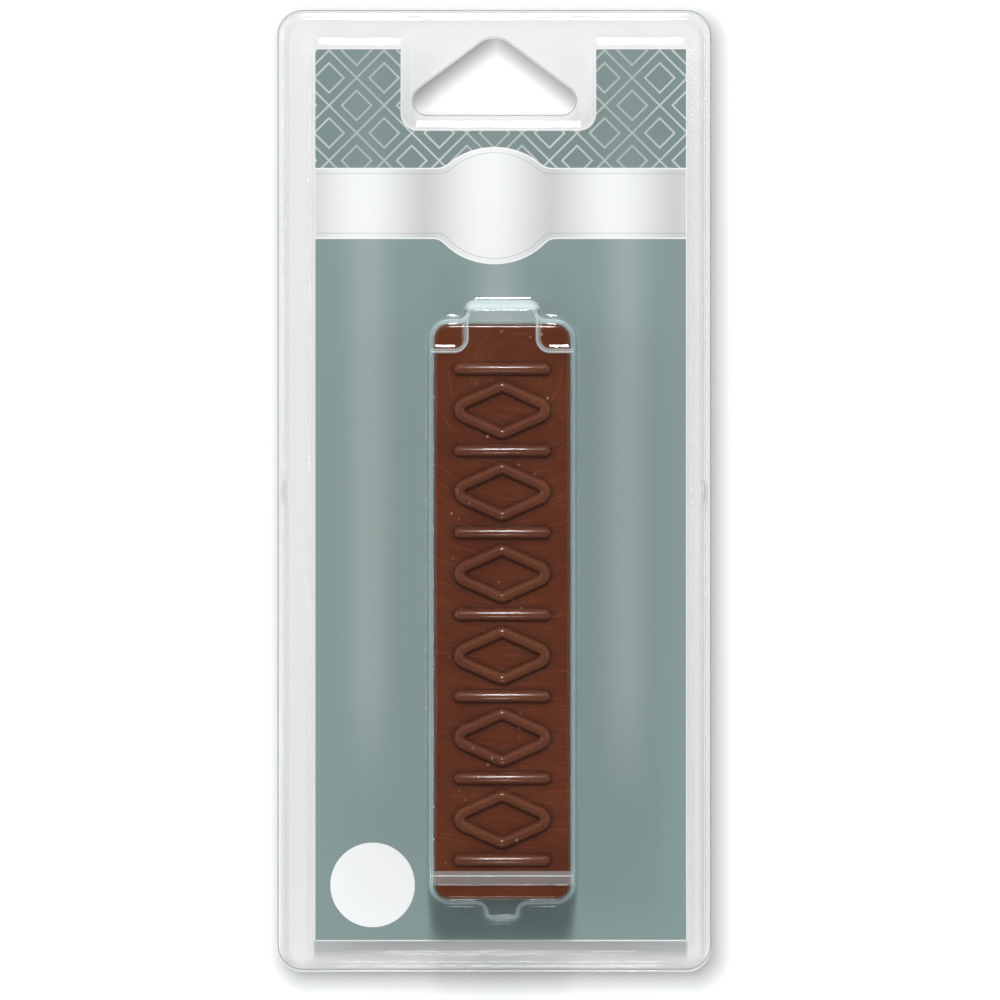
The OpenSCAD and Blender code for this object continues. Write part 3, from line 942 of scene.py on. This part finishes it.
# %% Painted shade in the corners along the strokes
def stroke_distance(x, y):
    """How far a point of the face lies from the middle of the nearest stroke."""
    beside, along = abs(x - stick_x), y - relief_low
    bar = (beside - relief_half + stroke_r).most(0.0).hypot(along.folded(pitch / 2))
    across = (along - pitch / 2).folded(pitch / 2)
    side = math.hypot(lozenge_x, lozenge_y)
    line = (beside * lozenge_y + across * lozenge_x - lozenge_x * lozenge_y) / side
    part = ((across * lozenge_y - (beside - lozenge_x) * lozenge_x) / side ** 2).clamped()
    outside = (beside - lozenge_x + part * lozenge_x).hypot(across - part * lozenge_y)
    edge = line.least(0.0) + outside * line.above(0.0)
    return bar.least(abs(edge - lozenge_r + stroke_r))


def painted_foot_shade(x, y, z):
    """Painted shade: 1 where a stroke meets the face, and 0 a little beside and above that."""
    half_length = pitch * lozenges / 2
    near = (1.7 - stroke_distance(x, y) / stroke_r * 0.7).clamped() ** 2
    between_ends = (half_length + 2 - abs(y - relief_low - half_length)).clamped()
    return near * between_ends * (1 - (z - face_z) / 0.7).clamped()


print("strokes of radius", stroke_r, "mm")

# %% [markdown]
# ## Finish of the wax
# Poured wax is never one colour. It has slow clouds, curved scratches, a dull bloom and pale crumbs that
# stick to it, and its ends are rubbed shiny. One noise could stand for all of these, but then they would all
# have one size. Each gets its own noise or distance here, and they are laid over each other from the ground
# up. The distance from the strokes also paints shade into the corner at the foot of each stroke.

# %% Finish of the wax
def wax_finish():
    finish = Finish("brown_wax")
    at = finish.spot()
    x, y, z = finish.apart(at)
    cloud = finish.noise(at, 60.0, 3.0, 0.55)
    swirl = (x - 5.0).hypot(y - 24.0)
    drawn = finish.node("ShaderNodeCombineXYZ", {}, {0: swirl * 2.4, 1: x * 0.12, 2: y * 0.12})
    scratch = finish.noise(drawn, 1.0, 4.0, 0.7)
    streak = ((scratch - 0.53) * 6).clamped()
    bloom_and_paler_tops = ((finish.noise(at, 130.0, 5.0, 0.7) - 0.5) * 3).clamped() * 0.3
    # The tone also turns paler up each stroke towards its top.
    bloom_and_paler_tops = bloom_and_paler_tops + ((z - face_z) / stroke_r).clamped() * 0.3
    cells = finish.node("ShaderNodeTexVoronoi", {}, {"Vector": at, "Scale": 420.0}, "Distance")
    crumb = (1.4 - cells * 9).clamped() * ((finish.noise(at, 140.0) - 0.57) * 9).clamped()
    half_length = (stick_high.y - stick_low.y) / 2
    rubbed = (abs(y - (stick_low.y + stick_high.y) / 2) - half_length + 1.2).clamped()
    tone = finish.mix(cloud, seen(77, 27, 4), seen(105, 50, 22))
    # Painted shade darkens the wax where each stroke meets the face.
    tone = finish.mix(painted_foot_shade(x, y, z) * 0.55, tone, seen(42, 14, 4))
    tone = finish.mix(streak * 0.3, tone, seen(132, 78, 54))
    tone = finish.mix(bloom_and_paler_tops * 0.55, tone, seen(130, 84, 58))
    tone = finish.mix(crumb * 0.7, tone, seen(186, 150, 128))
    relief = finish.noise(at, 1500.0, 3.0, 0.6) * 0.4 + scratch * 0.5 + finish.noise(at, 220.0) * 0.9
    finish.shown(finish.principled({
        "Base Color": tone,
        "Roughness": 0.4 + 0.16 * cloud + 0.1 * streak,
        "Specular IOR Level": 0.12,
        "Coat Weight": 0.45 + 0.5 * rubbed - 0.3 * streak,
        "Coat Roughness": 0.11,
        "Normal": finish.bump(relief, 0.3, 0.0002)}))
    return finish.material


wax = wax_finish()
print("finish:", wax.name, "with", len(wax.node_tree.nodes), "nodes")

# %% [markdown]
# ## Block of the stick
# The bar is a drafted block with soft edges, as it leaves its mould. A bevelled cube would do, but the
# block's corners are far rounder in plan than its edges are. A plate that is walked up its own profile has
# both.

# %% Make the block
edge_r, block_draft, face_margin = 0.7, 1, 0.3
rise = face_z - stick_low.z - edge_r
slope_in = rise * math.tan(math.radians(block_draft))
block_outline = rectangle(stick_low, stick_high, block_r)
bm = bmesh.new()
block = cut_plate(bm, block_outline, stick_low.z)
walk(bm, block, [(slope_in, rise), *bend(edge_r, 90 - block_draft, 0), (face_margin, 0)])
cut_plate(bm, block_outline, stick_low.z)
bmesh.ops.remove_doubles(bm, verts=bm.verts, dist=1e-3)
print("block:", len(bm.faces), "faces")

# %% [markdown]
# ## Bars
# A bar is a half-round stroke with ball ends. A cylinder with a ball at each end would leave two seams, so a
# bar is a single ball whose halves are drawn apart. Two cuts beside its middle go with the halves, and keep
# the shading even along the drawn part.

# %% Add the bars
lying = Matrix.Rotation(math.pi / 2, 4, "Y")
beside_middle = 0.02
for i in range(lozenges + 1):
    middle = Vector((stick_x, relief_low + i * pitch, face_z))
    spot = Matrix.Translation(middle) @ lying
    ball = bmesh.ops.create_uvsphere(bm, u_segments=32, v_segments=16, radius=stroke_r, matrix=spot)
    geom = list({g for v in ball["verts"] for g in (v, *v.link_edges, *v.link_faces)})
    for side in (-beside_middle, beside_middle):
        cut = middle + side * along_x
        geom = bmesh.ops.bisect_plane(bm, geom=geom, plane_co=cut, plane_no=along_x)["geom"]
    for v in (g for g in geom if isinstance(g, bmesh.types.BMVert)):
        side = v.co.x - middle.x
        if abs(side) > beside_middle / 2:
            v.co.x += math.copysign(relief_half - stroke_r, side)
print("block with", lozenges + 1, "bars:", len(bm.faces), "faces")

# %% [markdown]
# ## Lozenges
# A lozenge is a half-round stroke that runs round four sides. A bevelled curve could draw it, but it would
# have to be turned into a mesh and joined. The walk that made the walls does it in place: up over half a turn
# and down again on the inside. It starts and ends a little under the block's face, so no gap shows.

# %% Add the lozenges
sink = 0.3


def rhombus(bm, middle):
    """A plate with four slanting sides and round corners."""
    x, y = Vector((lozenge_x, 0, 0)), Vector((0, lozenge_y, 0))
    side = math.atan2(lozenge_x, lozenge_y)
    return arc_plate(bm, [
        (middle + x, lozenge_r, -side, side),
        (middle + y, lozenge_r, side, math.pi - side),
        (middle - x, lozenge_r, math.pi - side, math.pi + side),
        (middle - y, lozenge_r, math.pi + side, 2 * math.pi - side),
    ], 10)


for i in range(lozenges):
    middle = Vector((stick_x, relief_low + (i + 0.5) * pitch, face_z - sink))
    walk(bm, rhombus(bm, middle), [(0, sink), *bend(stroke_r, 90, -90, 12), (0, -0.8 * sink)])
bmesh.ops.holes_fill(bm, edges=[e for e in bm.edges if e.is_boundary], sides=0)
bmesh.ops.recalc_face_normals(bm, faces=bm.faces)
add_piece(bm, "wax_bar", [wax], "front", "wax_stick")

# %% [markdown]
# ## Floor
# The pack lies on plain white paper, which is darker where the rim keeps the light off it. Lamps alone give
# little of that shade, because clear sheet lets most of their light through, so the paper's own colour is
# shaded by the distance from the rim. The paper seen in the hang slot is a plate of the slot's own outline,
# because its shade follows the slot.

# %% Shade on the floor
shade_x, shade_y, shade_w, shade_depth = 1.3, 1.5, 5.6, 0.58
slot_shade_x, slot_shade_y, slot_shade_w = 0.5, 1.8, 2.9


def rim_distance(x, y):
    """How far a point lies outside the pack's outline, in millimetres."""
    across, along = abs(x) - (pack_high.x - pack_r), abs(y) - (pack_high.y - pack_r)
    beyond = across.most(0.0).hypot(along.most(0.0))
    return beyond + across.most(along).least(0.0) - pack_r


def slot_depth(x, y):
    """How far a point lies inside the hang slot. The peak's middle is as far from both slanting sides."""
    c, s = math.cos(slot_lean), math.sin(slot_lean)
    return (slot_peak.y * s + peak_r - s * y - c * abs(x)).least(y - slot_low)


def beside_pack(x, y):
    """The light that the floor gets round the pack, whose shade is moved to the lower right."""
    light = ((rim_distance(x - shade_x, y + shade_y) + 2.5) / shade_w).clamped()
    outside = (rim_distance(x, y) * 8 + 0.5).clamped()
    return 1 - outside * (1 - light) * shade_depth


def inside_slot(x, y):
    """The light that the floor gets in the slot, less near its edge."""
    return 1 + ((slot_depth(x - slot_shade_x, y + slot_shade_y) - slot_shade_w) * 0.14).least(0.0)


print("the floor loses up to", shade_depth, "of its light beside the pack")

# %% Make the floor
floor_half, floor_z, slot_floor_z = 4 / mm, -0.02, -0.01
black, white, paper_white = (0.0, 0.0, 0.0, 1), (1, 1, 1, 1), (0.87, 0.87, 0.87, 1)


def floor_finish(name, light):
    """White paper that gets a share of the light, which depends on the place."""
    finish = Finish(name)
    x, y, _ = finish.apart(finish.spot())
    level = light(x, y)
    ray = finish.node("ShaderNodeLightPath", output="Is Camera Ray")
    for kind in ("Is Glossy Ray", "Is Transmission Ray"):
        ray = ray.most(finish.node("ShaderNodeLightPath", output=kind))
    finish.shown(finish.principled({
        "Base Color": finish.mix(level, black, paper_white),
        "Roughness": 1.0,
        "Specular IOR Level": 0.0,
        "Emission Color": finish.mix(ray * level, black, white),
        "Emission Strength": 0.1}))
    return finish.material


bm = bmesh.new()
ground = Matrix.Translation((0, 0, floor_z))
bmesh.ops.create_grid(bm, x_segments=4, y_segments=4, size=floor_half, matrix=ground)
floor = as_object(bm, "floor", [floor_finish("floor", beside_pack)])
bm = bmesh.new()
slot_plate(bm, slot_floor_z, 0.0)
slot_floor = as_object(bm, "slot_floor", [floor_finish("slot_floor", inside_slot)])
print("floor", [round(c, 2) for c in floor.dimensions], "m")

# %% [markdown]
# ## Light
# A long strip light beyond the hang slot draws the bright lines along the bends and lets the stick's shadow
# fall towards the fold. Three weaker strips open the other sides. A plain grey world would lie on the flat
# sheet as a veil, so the world here is a studio that is bright low down and dark overhead, and the sheet
# lies clear over the card.

# %% World
sky_levels = [(0.0, 0.75), (0.5, 0.62), (0.72, 0.27), (0.92, 0.06)]
world = bpy.data.worlds.new("studio")
bpy.context.scene.world = world
world.use_nodes = True
sky = Finish("studio", world.node_tree)
up = sky.node("ShaderNodeSeparateXYZ", {}, {0: sky.node("ShaderNodeTexCoord", output="Generated")}, "Z")
glow = sky.node("ShaderNodeValToRGB", {"stops": sky_levels}, {0: up})
cool = sky.mix(glow, (0, 0, 0, 1), (0.93, 1.0, 1.01, 1))
sky.shown(sky.node("ShaderNodeBackground", {}, {"Color": cool, "Strength": 1.0}), "ShaderNodeOutputWorld")
print("world from", sky_levels[0][1], "at the horizon to", sky_levels[-1][1], "overhead")

# %% Lamps
def strip_light(name, place, size, power):
    lamp = bpy.data.lights.new(name, "AREA")
    lamp.shape, lamp.size, lamp.size_y, lamp.energy = "RECTANGLE", *size, power
    holder = bpy.data.objects.new(name, lamp)
    holder.location = place
    holder.rotation_euler = (-Vector(place)).to_track_quat("-Z", "Y").to_euler()
    bpy.context.scene.collection.objects.link(holder)


strip_light("key_strip", (0.0, 1.68, 2.49), (0.30, 1.2), 66)
strip_light("front_strip", (0.0, -1.68, 2.49), (0.24, 0.5), 8)
strip_light("left_strip", (-2.2, 0.3, 1.9), (1.0, 0.2), 12)
strip_light("right_strip", (2.2, 0.3, 1.9), (1.0, 0.2), 6)

# %% [markdown]
# ## Camera
# The pack is looked at from straight above. A near camera would show the blister's walls spread apart at both
# ends, so a long lens looks from afar, as for a picture in a catalogue. Rays meet many faces of clear sheet
# on their way, so more see-through bounces are allowed than usual.

# %% Camera
distance, view_w = 2.4, 200 * mm
lens = bpy.data.cameras.new("camera")
lens.lens = lens.sensor_width * distance / view_w
camera = bpy.data.objects.new("camera", lens)
camera.location = (1.12 * mm, -1.76 * mm, distance)
bpy.context.scene.collection.objects.link(camera)
bpy.context.scene.camera = camera
bpy.context.scene.view_settings.view_transform = "Standard"
bpy.context.scene.cycles.transparent_max_bounces = 32
print("camera lens", round(lens.lens), "mm at", distance, "m")

# %% [markdown]
# ## Sizes
# The dressed pieces have to fill the same box as the packed model does. Looking would not show a tenth of a
# millimetre.
